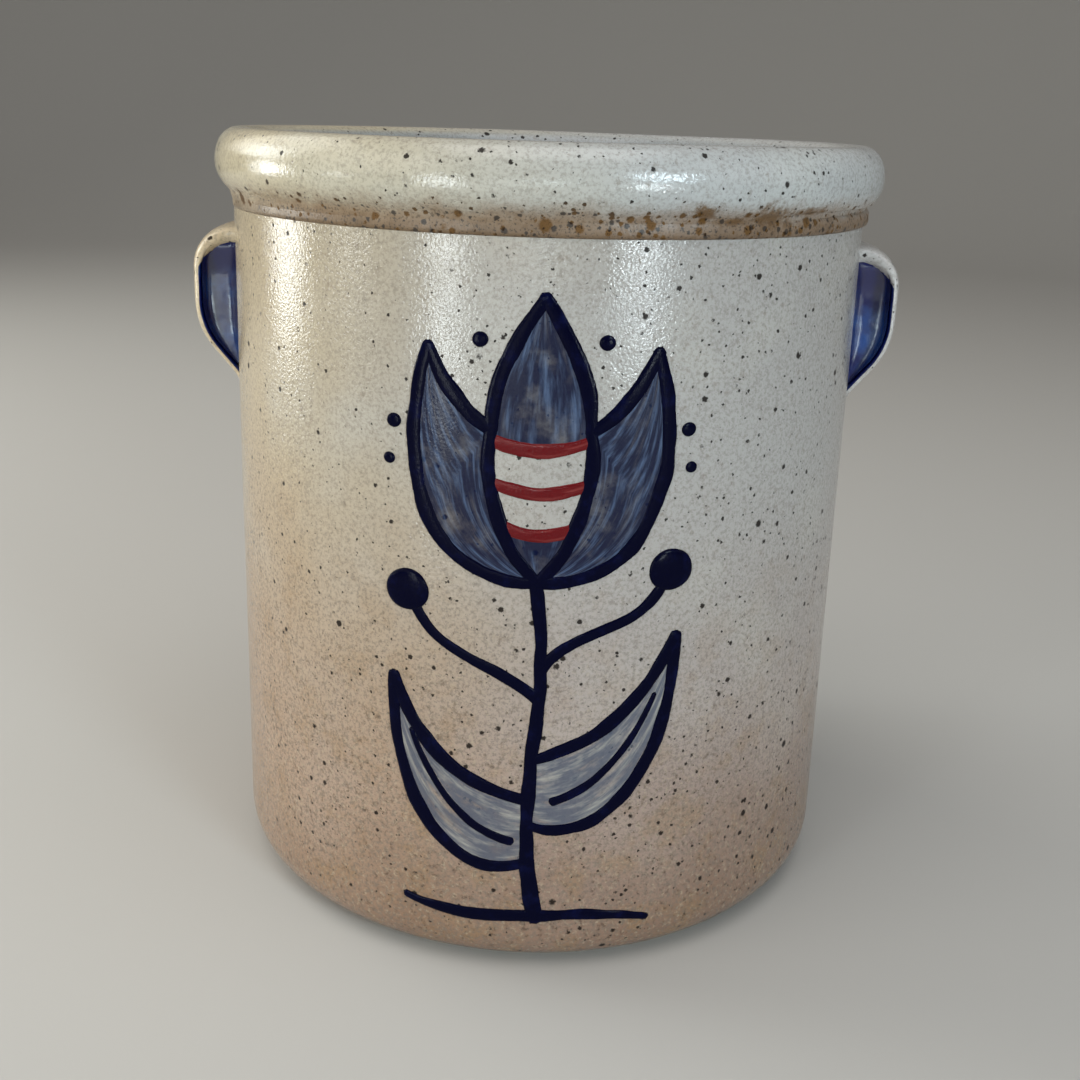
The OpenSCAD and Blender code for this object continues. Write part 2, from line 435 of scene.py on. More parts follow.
def makeWall():
    outer = run((crock["radius"], crock["floorTop"]), (crock["radius"], crock["wallTop"]), 44)
    inner = run((crock["bore"], crock["wallTop"]), (crock["bore"], crock["floorTop"]), 22)
    bm = lathe(outer + inner, crock["steps"])
    throwShape(bm)
    finishPiece(bm, "crockWall", saltGlaze, "wall")


def makeFloor():
    r, top, foot, cove = crock["radius"], crock["floorTop"], crock["foot"], crock["cove"]
    outline = run((0, 0), (r - foot, 0), 6) + arc((r - foot, foot), foot, -90, 0, 14)[1:]
    outline += [(r, top), (crock["bore"], top)]
    outline += arc((crock["bore"] - cove, top + cove), cove, 0, -90, 8)
    outline += run((crock["bore"] - cove, top), (0, top), 6)[1:]
    bm = lathe(outline, crock["steps"])
    throwShape(bm)
    finishPiece(bm, "crockFloor", saltGlaze, "floor_slab")


makeWall()
makeFloor()
print("wall and floor thrown")


# Rim and the toasted band under it
rim = {
    "top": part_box("rim_roll")[1].z,
    "reach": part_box("rim_roll")[1].x,
    "foot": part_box("rim_roll")[0].z,
    "inset": 1.0 * mm,      # how far the roll stands into the mouth
    "crest": 5.2 * mm,      # how far in from its outside the roll turns level
    "belly": 7.6 * mm,      # depth below the top where the roll is widest
    "tuck": 2.4 * mm,       # how far the roll folds below its seat
    "lip": 1.5 * mm,        # where the fold turns down on the band, out from the wall
    "fold": 2.6 * mm,       # how far above its seat the roll turns in to the fold
    "tail": 0.45 * mm,      # how far out from the wall the fold ends
    "sway": 0.35 * mm,      # how far its top wanders downwards
    "ripple": 0.2,          # share of the sway that ripples the outside
    "lift": (1.14, 1.21, 1.25, 1.0),     # how much paler the rim is than the wall
    "opens": (35.0, 60.0),  # degrees right of the front where the fold lifts off the band
    "opening": 1.3 * mm,    # how far it lifts
    "toast": rgb(122, 89, 52),
    "char": rgb(76, 53, 24),
    "rustAndSeamShadow": rgb(94, 64, 24),
    "cover": {"toast": 0.8, "char": 0.7, "rustAndSeamShadow": 0.9, "dust": 0.6, "pepper": 0.85},
    "toastFrom": (7 * mm, 0.5 * mm),     # above its seat, where the toasting begins and is full
    "toastEdge": (160.0, 6 * mm),        # how finely and how far its edge wanders
    "toastSide": (-76 * mm, -45 * mm),   # from left to right, where it is faint and where it is full
    "toastFaint": 0.6,
    "charFrom": 3 * mm,     # above its seat, where the charring begins
    "crowdFrom": 4 * mm,    # above its seat, where the specks begin to grow
    "stainsAndSeamShadow": [             # centre and reach of each blot, in mm
        ((44.7, -63.8, 167.0), (8.0, 8.0, 4.6)),
        ((30.5, -71.6, 168.2), (4.5, 4.5, 2.8)),
        ((38.0, -67.8, 166.4), (8.0, 8.0, 1.8)),
        # the last blot, a thin dark streak along the fold's seam, is partly rust and partly painted shadow
        # under the lip
        ((54.0, -57.0, 168.0), (9.0, 9.0, 1.5)),
    ],
}
band = {
    "foot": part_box("under_band")[0].z,
    "reach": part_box("under_band")[1].x,
    "slope": 1.0 * mm,      # height of its sloping lower edge
    "leftShare": 0.2,       # how much of its reach the band keeps on the left
}


def rimSway(bm):
    for vert in bm.verts:
        angle = math.atan2(vert.co.y, vert.co.x)
        at = Vector((1.1 * math.cos(angle), 1.1 * math.sin(angle), 4.0))
        raised = max(vert.co.z - rim["foot"], 0) / (rim["top"] - rim["foot"])
        vert.co.z -= raised * rim["sway"] * (0.5 + 0.5 * noise.noise(at))
        ripple = Vector((6 * math.cos(angle), 6 * math.sin(angle), vert.co.z / (6 * mm)))
        depth = rim["ripple"] * rim["sway"] * (0.5 + 0.5 * noise.noise(ripple))
        change = 1 - raised * depth / rim["reach"]
        vert.co.x *= change
        vert.co.y *= change


def makeRimGlaze():
    material, tree, shader = startMaterial("rimGlaze")
    foot, cover, faint = rim["foot"], rim["cover"], rim["toastFaint"]
    look = glazeLook(tree, lambda z: fade(tree, z, foot + rim["crowdFrom"], foot))
    fine, far = rim["toastEdge"]
    ragged = scaleAdd(tree, grain(tree, look["coords"], fine, 4.0, 0.65), far, look["z"])
    under = fade(tree, ragged, *[foot + height for height in rim["toastFrom"]])
    rightwards = fade(tree, look["x"], *rim["toastSide"])
    under = calc(tree, "MULTIPLY", under, scaleAdd(tree, rightwards, 1 - faint, faint))
    colour = tint(tree, 1.0, look["colour"], rim["lift"], "MULTIPLY")
    colour = tint(tree, calc(tree, "MULTIPLY", under, cover["toast"]), colour, rim["toast"])
    deep = fade(tree, ragged, foot + rim["charFrom"], band["foot"] + band["slope"])
    colour = tint(tree, calc(tree, "MULTIPLY", deep, cover["char"]), colour, rim["char"])
    look["dry"] = calc(tree, "MULTIPLY", under, 0.7)
    # rust blots; the last is partly painted shadow under the lip
    for centre, size in rim["stainsAndSeamShadow"]:
        away = near(tree, look["coords"], [c * mm for c in centre], [s * mm for s in size])
        blot = scaleAdd(tree, grain(tree, look["coords"], 330.0, 5.0, 0.75), 2.4, away)
        blot = calc(tree, "MULTIPLY", fade(tree, blot, 2.15, 1.35), cover["rustAndSeamShadow"])
        colour = tint(tree, blot, colour, rim["rustAndSeamShadow"])
    dust = fade(tree, grain(tree, look["coords"], 2000.0, 2.0, 0.6), 0.55, 0.64)
    dust = calc(tree, "MULTIPLY", dust, calc(tree, "MULTIPLY", under, cover["dust"]))
    colour = tint(tree, dust, colour, glaze["speck"])
    pepper = specks(tree, look["coords"], 640.0, 0.42, calc(tree, "MULTIPLY", under, 2.0))
    colour = tint(tree, calc(tree, "MULTIPLY", pepper, cover["pepper"]), colour, glaze["speck"])
    glazeSurface(tree, shader, look, colour, 0.1, 0.18, 0.34)
    return material


def curve(points, steps):
    return [tuple(bend(points, t / steps)) for t in range(1, steps + 1)]


def makeRim(material):
    r, top, foot, crest = rim["reach"], rim["top"], rim["foot"], rim["crest"]
    bore, wall = crock["bore"], crock["radius"]
    mouth = bore - rim["inset"]
    fold = (wall + rim["lip"], foot)
    tail = (wall + rim["tail"], foot - rim["tuck"])
    quarter = [math.pi / 2 * (1 - i / 16) for i in range(17)]
    outline = [(bore, foot - rim["tuck"]), (bore, foot)]
    outline += curve([(bore, foot), (mouth, foot + 2 * mm), (mouth, foot + 5 * mm)], 5)
    outline += arc((mouth + crest, top - crest), crest, 180, 90, 9)
    outline += [(r - crest + crest * math.cos(t), top - rim["belly"] * (1 - math.sin(t))) for t in quarter]
    outline += curve([(r, top - rim["belly"]), (r, foot + rim["fold"]), fold], 12)
    outline += curve([fold, (fold[0] - 0.7 * mm, fold[1] - 0.5 * mm), tail], 5)
    outline += [(wall - 1 * mm, tail[1])]
    bm = lathe(outline, crock["steps"])
    for vert in bm.verts:
        turned = math.degrees(math.atan2(vert.co.x, -vert.co.y))
        outside = vert.co.x ** 2 + vert.co.y ** 2 > wall ** 2
        if outside and vert.co.z < foot + 0.1 * mm:
            vert.co.z += smoothStep(*rim["opens"], turned) * rim["opening"]
    throwShape(bm)
    rimSway(bm)
    finishPiece(bm, "rimRoll", material, "rim_roll")


def makeBand(material):
    r, out = crock["radius"], band["reach"] - crock["radius"]
    foot, slope, top = band["foot"], band["slope"], rim["foot"]
    outline = [(r - 0.5 * mm, foot), (r + 0.15 * mm, foot)]
    outline += [(r + 0.8 * out, foot + 0.35 * slope), (r + out, foot + slope)]
    outline += [(r + out, top - 1.7 * mm), (r + 0.7 * out, top - 1.0 * mm)]
    outline += [(r + 0.2 * mm, top - 0.5 * mm), (r - 0.5 * mm, top)]
    bm = lathe(outline, crock["steps"])
    for vert in bm.verts:
        angle = math.atan2(vert.co.y, vert.co.x)
        flat = math.hypot(vert.co.x, vert.co.y)
        share = band["leftShare"] + (1 - band["leftShare"]) * (0.5 + 0.5 * math.cos(angle))
        moved = (r + (flat - r) * share) / flat if flat > r else 1
        vert.co.x *= moved
        vert.co.y *= moved
    throwShape(bm)
    finishPiece(bm, "underBand", material, "under_band", 80)


rimGlaze = makeRimGlaze()
makeRim(rimGlaze)
makeBand(rimGlaze)
print("rim rolled, band under it")


# Ear handles, each with a scoop in its front and one in its back
ear = {
    "reach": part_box("right_handle")[1].x,
    "top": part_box("right_handle")[1].z,
    "tail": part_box("right_handle")[0].z,
    "halfWidth": 18 * mm,
    "thick": 3.0 * mm,
    "crown": 2.6 * mm,      # how much thicker the ear is along its top
    "shoulder": 10 * mm,
    "heelDrop": 18 * mm,    # from the top to the start of the lower curve
    "heel": 20 * mm,
    "heelTurn": 38.0,
    "tailRound": 9 * mm,
    "root": 3 * mm,         # how far the ends go into the wall
    "topEase": (0.08, 9 * mm),    # how much narrower the ear gets at its top, and from how far below
    "tailEase": (0.08, 24 * mm),  # the same at its tail
    "flatAcross": 0.55,     # lower is squarer across the ear
    "flatThick": 0.8,       # and through it
    "uneven": 0.06,         # how much its thickness varies
    "unevenWidth": 0.02,
    "lipEdge": (-1.4 * mm, -0.6 * mm),   # where the outside glaze gives way to the paler lip
    "paintEdge": (-0.3 * mm, 0.5 * mm),  # where the cobalt begins, inwards from the middle
    "bareCrown": 0.8 * mm,  # how much farther in it begins under the crown
    "scoop": 3.4 * mm,      # depth of a scoop
    "scoopFoot": 7.6 * mm,  # how far above the ear's tail a scoop starts
    "deepest": 0.667,       # where up its height a scoop is deepest
    "scoopSpan": 0.72,      # from there to its tail
    "brim": 22,             # how late a scoop turns up to its brim
    "hood": 0.68,           # where up its height it starts to curl over
    "hoodSpan": 0.3,
    "hoodLeast": 0.45,      # share of its depth that is left under the crown
    "seam": 1.0 * mm,       # how much deeper a scoop is where it meets the wall
    "seamShare": 0.35,      # how far across it that fades out
    "tilt": 1.4 * mm,       # how much deeper it gets on the way out
    "scoopEdge": 0.6 * mm,  # how far a scoop's rim lies behind the ear's edge
    "sink": 0.5 * mm,       # how far a scoop goes into the wall and the ear
    "lift": (1.48, 1.48, 1.5, 1.0),      # how much paler an ear's lip is than the wall
    "cobalt": rgb(6, 17, 84),
    "cobaltThin": rgb(32, 76, 146),
    "shadeAndPoolDrop": (7 * mm, 16 * mm),  # below the ear's top, where the dark cobalt, partly pooled glaze and partly painted shade under the crown, begins to thin and is thin
    "index": 1.75,          # of refraction
}


def earPath():
    half = ear["thick"] / 2
    elbow = (ear["reach"] - ear["shoulder"], ear["top"] - ear["shoulder"])
    heel = (ear["reach"] - ear["heel"], ear["top"] - ear["heelDrop"])
    tail = (crock["radius"] + ear["tailRound"], ear["tail"])
    path = [(crock["radius"] - ear["root"], ear["top"] - half)]
    path += arc(elbow, ear["shoulder"] - half, 90, 0, 12)
    path += run((ear["reach"] - half, elbow[1]), (ear["reach"] - half, heel[1]), 6)[1:-1]
    path += arc(heel, ear["heel"] - half, 0, -ear["heelTurn"], 10)
    path += arc(tail, ear["tailRound"] + half, 180 - ear["heelTurn"], 178, 10)
    return [Vector(p) for p in path]


def along(path, share):
    steps = [(b - a).length for a, b in zip(path, path[1:])]
    left = share * sum(steps)
    for a, b, step in zip(path, path[1:], steps):
        if left <= step:
            return a.lerp(b, left / step), (b - a).normalized()
        left -= step
    return path[-1], (path[-1] - path[-2]).normalized()


def earTurn(z):
    topShare, topSpan = ear["topEase"]
    tailShare, tailSpan = ear["tailEase"]
    eased = topShare * smoothStep(ear["top"] - topSpan, ear["top"], z)
    eased += tailShare * smoothStep(ear["tail"] + tailSpan, ear["tail"], z)
    return ear["halfWidth"] / ear["reach"] * (1 - eased)


def makeEarGlaze():
    material, tree, shader = startMaterial("earGlaze")
    look = glazeLook(tree)
    painted = addNode(tree, "ShaderNodeAttribute", attribute_name="cobalt").outputs["Fac"]
    edge = scaleAdd(tree, grain(tree, look["coords"], 260.0, 3.0), 0.3, painted)
    mask = fade(tree, edge, 0.55, 0.75)
    thin = fade(tree, grain(tree, look["coords"], 110.0, 4.0, 0.6), 0.45, 0.8)
    blue = tint(tree, thin, ear["cobalt"], ear["cobaltThin"])
    lip = addNode(tree, "ShaderNodeAttribute", attribute_name="lip").outputs["Fac"]
    cream = tint(tree, scaleAdd(tree, lip, 0.7, 0.3), look["colour"], ear["lift"], "MULTIPLY")
    glazeSurface(tree, shader, look, tint(tree, mask, cream, blue), 0.14, 0.26, 0.3)
    return material


def makeCobalt():
    material, tree, shader = startMaterial("cobaltPool")
    coords = addNode(tree, "ShaderNodeTexCoord").outputs["Object"]
    thin = fade(tree, grain(tree, coords, 130.0, 4.0, 0.6), 0.4, 0.8)
    height = addNode(tree, "ShaderNodeSeparateXYZ", {0: coords}).outputs["Z"]
    # dark at the top of the scoop, partly thick cobalt and partly painted shade under the crown
    lower = fade(tree, height, *[ear["top"] - drop for drop in ear["shadeAndPoolDrop"]])
    thin = calc(tree, "MULTIPLY", thin, lower)
    tree.links.new(tint(tree, thin, ear["cobalt"], ear["cobaltThin"]), shader.inputs["Base Color"])
    dull = grain(tree, coords, 220.0, 3.0)
    rough = addNode(tree, "ShaderNodeMapRange", {"Value": dull, "To Min": 0.12, "To Max": 0.25}).outputs[0]
    tree.links.new(rough, shader.inputs["Roughness"])
    wave = grain(tree, coords, 170.0, 2.0)
    tree.links.new(ripples(tree, wave, 0.34, 0.6 * mm), shader.inputs["Normal"])
    shader.inputs["IOR"].default_value = ear["index"]
    return material


def paintEar(bm, path):
    lip = bm.verts.layers.float.new("lip")
    cobalt = bm.verts.layers.float.new("cobalt")
    for vert in bm.verts:
        spot = Vector((math.hypot(vert.co.x, vert.co.y), vert.co.z))
        index = min(range(1, len(path) - 1), key=lambda i: (path[i] - spot).length)
        way = (path[index + 1] - path[index - 1]).normalized()
        inward = -(spot - path[index]).dot(Vector((-way.y, way.x)))
        bare = (ear["crown"] + ear["bareCrown"]) * max(way.x, 0)
        vert[lip] = smoothStep(*ear["lipEdge"], inward)
        vert[cobalt] = smoothStep(*ear["paintEdge"], inward - bare)


def makeEar(name, node, facing, material):
    path = earPath()

    def place(u, v):
        centre, way = along(path, u)
        out = Vector((-way.y, way.x))
        turn = 2 * math.pi * v
        across = math.copysign(abs(math.cos(turn)) ** ear["flatAcross"], math.cos(turn))
        thick = math.copysign(abs(math.sin(turn)) ** ear["flatThick"], math.sin(turn))
        at = Vector((u * 7, across * 1.5, facing * 3.0))
        half = ear["thick"] / 2 * (1 - ear["uneven"] * (1 + noise.noise(at)))
        if thick < 0:
            half += ear["crown"] * max(out.y, 0)
        point = centre + out * thick * half
        angle = earTurn(point.y) * across
        angle *= 1 - ear["unevenWidth"] * (1 + noise.noise(at * 1.7))
        return Vector((facing * point.x * math.cos(angle), facing * point.x * math.sin(angle), point.y))

    bm = bmesh.new()
    addShell(bm, 64, 48, place)
    paintEar(bm, path)
    finishPiece(bm, name, material, node)


def scoopReach(z):
    elbow = ear["top"] - ear["shoulder"]
    heel = ear["top"] - ear["heelDrop"]
    turn = math.radians(ear["heelTurn"])
    if z > elbow:
        inner = ear["shoulder"] - ear["thick"]
        return ear["reach"] - ear["shoulder"] + math.sqrt(max(inner ** 2 - (z - elbow) ** 2, 0))
    if z > heel:
        return ear["reach"] - ear["thick"]
    inner = ear["heel"] - ear["thick"]
    drop = min(heel - z, inner * math.sin(turn))
    beyond = heel - z - drop
    return ear["reach"] - ear["heel"] + math.sqrt(inner ** 2 - drop ** 2) - beyond * math.tan(turn)


def scoopLoop(v):
    if v < 0.4:             # one face of the web, from the wall outwards
        return 1 - (1 - v / 0.4) ** 1.4, -1.0
    if v < 0.5:
        return 1.0, (v - 0.45) / 0.05
    if v < 0.9:             # its other face, in to the wall again
        return 1 - (1 - (0.9 - v) / 0.4) ** 1.4, 1.0
    return 0.0, (0.95 - v) / 0.05


def makeScoop(name, facing, material):
    low, high = ear["tail"] + ear["scoopFoot"], ear["top"] - ear["thick"] + ear["sink"]
    inner = crock["radius"] - ear["sink"]

    def place(u, v):
        z = low + (high - low) * u
        across, side = scoopLoop(v)
        r = inner + (max(scoopReach(z), inner) + ear["sink"] - inner) * across
        bowl = 1 - ((u - ear["deepest"]) / ear["scoopSpan"]) ** 2
        curl = max(u - ear["hood"], 0) / ear["hoodSpan"]
        depth = ear["scoop"] + ear["tilt"] * across
        depth += ear["seam"] * max(1 - across / ear["seamShare"], 0) ** 2
        depth *= bowl * (1 - across ** ear["brim"]) * max(1 - curl ** 2, ear["hoodLeast"])
        depth += 0.1 * mm * noise.noise(Vector((r / (5 * mm), side * facing, z / (8 * mm))))
        angle = side * (earTurn(z) - (ear["scoopEdge"] + depth) / r)
        return Vector((facing * r * math.cos(angle), facing * r * math.sin(angle), z))

    bm = bmesh.new()
    addShell(bm, 48, 60, place)
    finishPiece(bm, name, material, None)


earGlaze = makeEarGlaze()
makeEar("rightEar", "right_handle", 1, earGlaze)
makeEar("leftEar", "left_handle", -1, earGlaze)
cobaltPool = makeCobalt()
makeScoop("rightScoop", 1, cobaltPool)
makeScoop("leftScoop", -1, cobaltPool)
print("ears pulled and scooped")


# Slip drawing: points in mm, across and up from the middle of its foot
drawing = {
    "foot": crock["floorTop"],
    "line": 2.9,
    "height": 0.4,
    "sink": 0.3,            # how far the slip goes into the wall
    "spacing": 0.6,         # between the rings of a line's mesh
    "wobble": 0.3,          # how much a line's width varies
    "shiver": 0.06,         # and how much it does so over short lengths
    "stem": [([(2, 3), (-5, 32), (5, 54), (0, 81)], (1.2, 1, 1)),
             ([(0.6, 56), (-8, 64), (-20, 64), (-25, 74)], (0.9, 0.8, 0.8)),
             ([(1.5, 62), (6, 72), (20, 70), (26, 80)], (0.9, 0.8, 0.8))],
    "leaves": [([(-0.5, 17), (-16, 10), (-31, 28), (-30, 58)], (0.8, 1.1, 0.8)),
               ([(-30, 58), (-24, 40), (-12, 34), (0, 32)], (0.8, 1.1, 0.8)),
               ([(0.3, 26), (16, 20), (31, 40), (30, 69)], (0.8, 1.1, 0.8)),
               ([(30, 69), (23, 52), (12, 45), (1, 42)], (0.8, 1.1, 0.8)),
               ([(-4, 22), (-14, 24), (-22, 34), (-26, 46)], (0.75, 0.6, 0.4)),
               ([(5, 32), (15, 35), (22, 45), (26, 56)], (0.75, 0.6, 0.4))],
    "halfBloom": [([(0, 82), (-22, 81), (-31, 102), (-23, 130)], (0.9, 1.1, 0.9)),
                  ([(-23, 130), (-19, 121), (-14, 116), (-10, 114)], (0.9, 1.1, 0.9)),
                  ([(-10, 114), (-12, 102), (-8, 90), (0, 82)], (0.9, 1.1, 0.9)),
                  ([(-10, 114), (-10, 125), (-5, 133), (0, 140.5)], (0.9, 1.1, 0.9))],
    "bands": [(93, 7.5), (102, 9.8), (111, 9.9)],
    "ground": [([(-27, 5), (-12, 0), (8, 7), (27, 1)], (0.6, 1, 0.6))],
    "buds": [(-27, 78, 4.6), (28, 84, 4.6)],
    "dots": [(12.5, 132, 1.6), (30, 114, 1.5), (31, 106, 1.2)],
    "tip": [(-10.4, 111), (-10.6, 124), (-5, 133), (0, 140.5)],  # left edges of the washes in the bloom
    "cup": [(0, 82), (-3, 85), (-6, 89), (-7.5, 93)],
    "bandHeight": 0.3,
    "budHeight": 0.8,
    "dotHeight": 0.5,
    "washHeight": 0.12,
    "navy": rgb(3, 4, 27),
    "navyThin": rgb(13, 19, 62),
    "brick": rgb(94, 11, 17),
    "brickThin": rgb(128, 54, 52),
    "blueWash": rgb(10, 18, 48),
    "blueThin": rgb(76, 94, 124),
    "greyWash": rgb(84, 90, 104),
    "greyThin": rgb(158, 156, 150),
}


def mirrored(strokes):
    return [([(-x, z) for x, z in points], weights) for points, weights in strokes]


def onWall(x, z, lift):
    height = drawing["foot"] + z * mm
    angle = front + math.asin(x * mm / crock["radius"])
    r = crock["radius"] + wander(angle, height) + lift * mm
    return Vector((r * math.cos(angle), r * math.sin(angle), height))


def addStroke(bm, points, weights, height):
    length = lengthOf(lambda t: bend(points, t))
    caps = [drawing["line"] * w / 2 for w in (weights[0], weights[2])]
    whole = length + sum(caps)
    start, end = bend(points, 0), bend(points, 1)
    startWay = (bend(points, 0.01) - start).normalized()
    endWay = (end - bend(points, 0.99)).normalized()
    middle = weights[1] * 2 - (weights[0] + weights[2]) / 2
    pressure = [(weights[0], 0), (middle, 0), (weights[2], 0)]

    def place(u, v):
        s = u * whole - caps[0]
        t = min(max(s / length, 0), 1)
        centre = bend(points, t)
        way = (bend(points, min(t + 0.01, 1)) - bend(points, max(t - 0.01, 0))).normalized()
        if s < 0:
            centre, way = start + startWay * s, startWay
        if s > length:
            centre, way = end + endWay * (s - length), endWay
        half = drawing["line"] * bend(pressure, t).x / 2
        room = min(u * whole, (1 - u) * whole)
        taper = math.sqrt(max(1 - (1 - min(room / half, 1)) ** 2, 0))
        turn = 2 * math.pi * v
        slow = Vector((centre.x * 0.16, centre.y * 0.16, math.cos(turn) * 0.5))
        quick = Vector((centre.x * 0.9, centre.y * 0.9, math.cos(turn)))
        uneven = 1 + drawing["wobble"] * noise.noise(slow)
        uneven += drawing["shiver"] * noise.noise(quick)
        side = Vector((-way.y, way.x)) * half * taper * uneven * math.cos(turn)
        rise = math.sin(turn)
        lift = height * math.sqrt(taper * rise) if rise > 0 else drawing["sink"] * rise
        return onWall(centre.x + side.x, centre.y + side.y, lift if taper > 0 else 0)

    columns = max(int(whole / drawing["spacing"]), 8)
    addShell(bm, columns, 16, place, (whole, 2 * drawing["line"]))


def addBlob(bm, x, z, radius, height):
    def place(u, v):
        turn, tip = 2 * math.pi * u, math.pi * v
        rough = 1 + 0.05 * noise.noise(Vector((math.cos(turn), math.sin(turn), x)))
        reach = radius * rough * math.sin(tip)
        lift = height * math.cos(tip) ** 0.6 if v < 0.5 else drawing["sink"] * math.cos(tip)
        return onWall(x + reach * math.cos(turn), z + reach * math.sin(turn), lift)

    addShell(bm, 32, 16, place, (radius, radius))


def washPoint(edges, t):
    spot = t * len(edges)
    index = min(int(spot), len(edges) - 1)
    return bend(edges[index], spot - index)


def addWash(bm, leftEdges, rightEdges):
    def place(u, v):
        turn = 2 * math.pi * v
        share = 0.5 - 0.5 * math.cos(turn)
        point = washPoint(leftEdges, u).lerp(washPoint(rightEdges, u), share)
        rise = min(1, abs(4 * math.sin(turn)))
        lift = drawing["washHeight"] * rise if v < 0.5 else -drawing["sink"] * rise
        return onWall(point.x, point.y, lift if 0 < u < 1 else 0)

    length = lengthOf(lambda t: washPoint(leftEdges, t))
    width = (washPoint(leftEdges, 0.5) - washPoint(rightEdges, 0.5)).length
    addShell(bm, 40, 48, place, (length, 2 * width))


def brushed(tree, stretch):
    uv = addNode(tree, "ShaderNodeUVMap").outputs[0]
    laid = addNode(tree, "ShaderNodeMapping", {"Vector": uv, "Scale": stretch}).outputs[0]
    return grain(tree, laid, 1.0, 4.0, 0.6)


def makeWash(name, thick, thin, cover, dry):
    material, tree, shader = startMaterial(name)
    look = glazeLook(tree)
    streak = brushed(tree, (0.07, 0.75, 1.0))
    paint = tint(tree, fade(tree, streak, 0.44, 0.74), thick, thin)
    cloud = grain(tree, look["coords"], 120.0, 4.0, 0.6)
    strength = scaleAdd(tree, fade(tree, cloud, 0.5, 0.85), -0.35, cover)
    gap = fade(tree, brushed(tree, (0.05, 0.42, 1.0)), 0.5, 0.68)
    strength = calc(tree, "MULTIPLY", strength, scaleAdd(tree, gap, -dry, 1.0))
    paint = tint(tree, strength, look["colour"], paint)
    glazeSurface(tree, shader, look, paint, bump=0.16, gloss=2 * glaze["softGloss"])
    return material


def makeBrick():
    material, tree, shader = startMaterial("brickSlip")
    look = glazeLook(tree)
    streak = fade(tree, brushed(tree, (0.1, 1.1, 1.0)), 0.45, 0.75)
    colour = tint(tree, streak, drawing["brick"], drawing["brickThin"])
    glazeSurface(tree, shader, look, colour, bump=0.3, gloss=4 * glaze["softGloss"])
    return material


navySlip = makeSlip("navySlip", drawing["navy"], drawing["navyThin"], 0.1)
brickSlip = makeBrick()
blueWash = makeWash("blueWash", drawing["blueWash"], drawing["blueThin"], 0.97, 0.12)
greyWash = makeWash("greyWash", drawing["greyWash"], drawing["greyThin"], 0.9, 0.6)


def drawStrokes(name, node, strokes, material, height=drawing["height"]):
    bm = bmesh.new()
    for points, weights in strokes:
        addStroke(bm, points, weights, height)
    finishPiece(bm, name, material, node)


def drawBlobs(name, node, blobs, height):
    bm = bmesh.new()
    for x, z, radius in blobs:
        addBlob(bm, x, z, radius, height)
    finishPiece(bm, name, navySlip, node)


def drawWash(name, fields, material):
    bm = bmesh.new()
    for leftEdges, rightEdges in fields:
        addWash(bm, leftEdges, rightEdges)
    finishPiece(bm, name, material, None)


def backwards(points):
    return list(reversed(points))


def makeDrawing():
    bloom = drawing["halfBloom"] + mirrored(drawing["halfBloom"])
    bandStrokes = [([(-h, z + 1), (-h / 3, z - 1.5), (h / 3, z - 1.5), (h, z + 1)], (0.9, 1, 0.9))
                   for z, h in drawing["bands"]]
    drawStrokes("stemSlip", "slip_stem", drawing["stem"], navySlip)
    drawStrokes("leafSlip", "slip_leaves", drawing["leaves"], navySlip)
    drawStrokes("bloomSlip", "slip_bloom", bloom, navySlip)
    drawStrokes("bandSlip", "slip_bands", bandStrokes, brickSlip, drawing["bandHeight"])
    drawStrokes("groundSlip", "slip_ground", drawing["ground"], navySlip)
    drawBlobs("budSlip", "slip_buds", drawing["buds"], drawing["budHeight"])
    dots = drawing["dots"] + [(-x, z, r) for x, z, r in drawing["dots"]]
    drawBlobs("dotSlip", "slip_dots", dots, drawing["dotHeight"])
    outer, inner, seam = [points for points, _ in drawing["halfBloom"]][:3]
    petals = []
    for flip in (1, -1):
        edges = [[[(flip * x, z) for x, z in points] for points in side]
                 for side in ([outer], [backwards(seam), backwards(inner)])]
        petals.append(edges)
    drawWash("petalWash", petals, blueWash)
    middles = [([side], [[(-x, z) for x, z in side]]) for side in (drawing["tip"], drawing["cup"])]
    drawWash("crownWash", middles, blueWash)
    leaves = [points for points, _ in drawing["leaves"]]
    blades = [([leaves[i]], [backwards(leaves[i + 1])]) for i in (0, 2)]
    drawWash("leafWash", blades, greyWash)


makeDrawing()
print("slip drawing laid on")


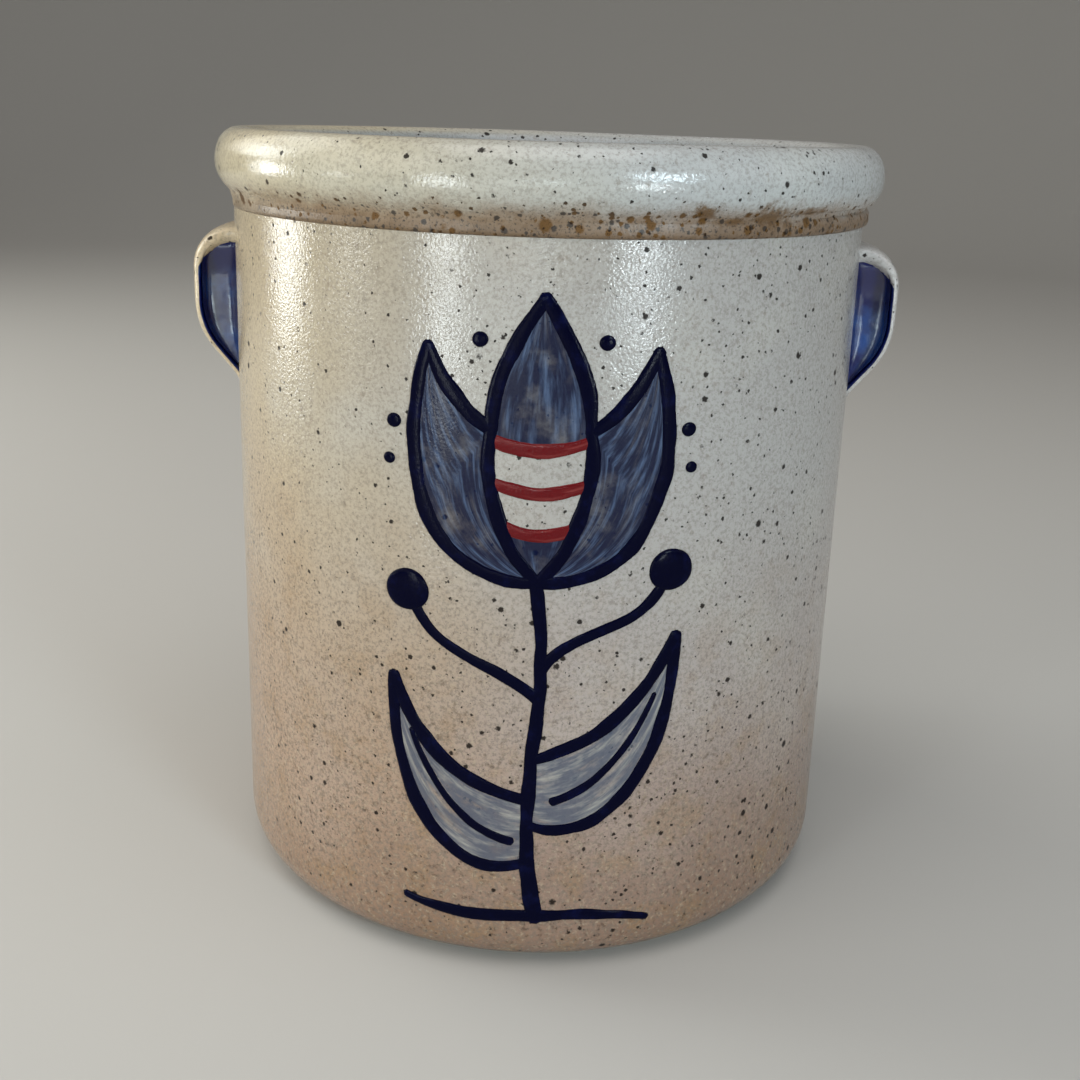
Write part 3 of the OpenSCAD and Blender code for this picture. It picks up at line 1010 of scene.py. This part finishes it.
# Studio
studio = {
    "floor": rgb(188, 186, 182),
    "flat": 1.5,            # radius of the level floor
    "sweep": 1.0,           # radius of the curve up to the backdrop
    "world": (1.0, 0.97, 0.93, 1.0),
    "worldStrength": 0.24,
    "aim": (0.0, 0.0, 0.09),
    "lights": [             # name, place, size, watts, colour
        ("windowLeft", (-0.95, 0.15, 0.13), (0.24, 0.26), 2.4, (0.96, 1.0, 0.98)),
        ("windowHigh", (-0.92, 0.28, 0.46), (0.34, 0.28), 1.2, (0.86, 0.95, 1.0)),
        ("windowMid", (-0.92, -0.36, 0.11), (0.13, 0.08), 0.36, (0.96, 1.0, 0.98)),
        ("warmFill", (-0.9, -0.55, 0.6), (0.8, 0.8), 2.3, (1.0, 0.94, 0.84)),
        ("warmBack", (-0.9, 0.35, 0.7), (0.8, 0.8), 4.3, (1.0, 0.98, 0.88)),
        ("frontPanel", (-0.28, -0.45, 0.11), (0.07, 0.2), 0.55, (0.9, 0.98, 1.0)),
        ("skyRight", (0.6, -0.82, 0.42), (0.22, 0.16), 3.1, (0.72, 0.9, 1.0)),
        ("lowRight", (0.53, -0.86, 0.08), (0.12, 0.08), 1.5, (0.84, 0.96, 1.0)),
        ("rightFill", (0.9, -0.3, 0.5), (0.6, 0.6), 0.6, (0.96, 0.97, 1.0)),
        ("softFront", (-0.13, -0.62, 0.1), (0.14, 0.2), 0.15, (0.92, 0.98, 0.96)),
        ("skylight", (0.0, -1.05, 0.16), (0.16, 0.05), 0.4, (0.8, 0.96, 1.0)),
        ("overhead", (0.0, -0.35, 1.3), (1.0, 1.0), 6.2, (1.0, 0.97, 0.95)),
    ],
}


def makeStudio():
    bm = bmesh.new()
    side = studio["flat"]
    outline = run((0, 0), (side, 0), 6)
    outline += arc((side, studio["sweep"]), studio["sweep"], -90, 0, 16)[1:]
    verts = [bm.verts.new((r, 0, z - 0.1 * mm)) for r, z in outline]
    edges = [bm.edges.new(pair) for pair in zip(verts, verts[1:])]
    bmesh.ops.spin(bm, geom=verts + edges, cent=(0, 0, 0), axis=(0, 0, 1),
                   angle=2 * math.pi, steps=64, use_merge=True)
    bmesh.ops.remove_doubles(bm, verts=bm.verts, dist=weld)
    bmesh.ops.recalc_face_normals(bm, faces=bm.faces)
    mesh = bpy.data.meshes.new("sweepFloor")
    for face in bm.faces:
        face.smooth = True
    bm.to_mesh(mesh)
    bm.free()
    material, _, shader = startMaterial("floorPaper")
    shader.inputs["Base Color"].default_value = studio["floor"]
    shader.inputs["Roughness"].default_value = 0.8
    mesh.materials.append(material)
    floor = bpy.data.objects.new("sweepFloor", mesh)
    bpy.context.collection.objects.link(floor)


def makeLights():
    aim = Vector(studio["aim"])
    for name, place, size, power, colour in studio["lights"]:
        data = bpy.data.lights.new(name, "AREA")
        data.shape = "RECTANGLE"
        data.size, data.size_y = size
        data.energy = power
        data.color = colour
        light = bpy.data.objects.new(name, data)
        light.location = place
        light.rotation_euler = (aim - Vector(place)).to_track_quat("-Z", "Y").to_euler()
        light.visible_camera = False
        bpy.context.collection.objects.link(light)
    world = bpy.data.worlds.new("studioAir")
    world.use_nodes = True
    sky = world.node_tree.nodes["Background"]
    sky.inputs["Color"].default_value = studio["world"]
    sky.inputs["Strength"].default_value = studio["worldStrength"]
    bpy.context.scene.world = world
    bpy.context.scene.view_settings.view_transform = "Standard"


makeStudio()
makeLights()
print("studio lit")
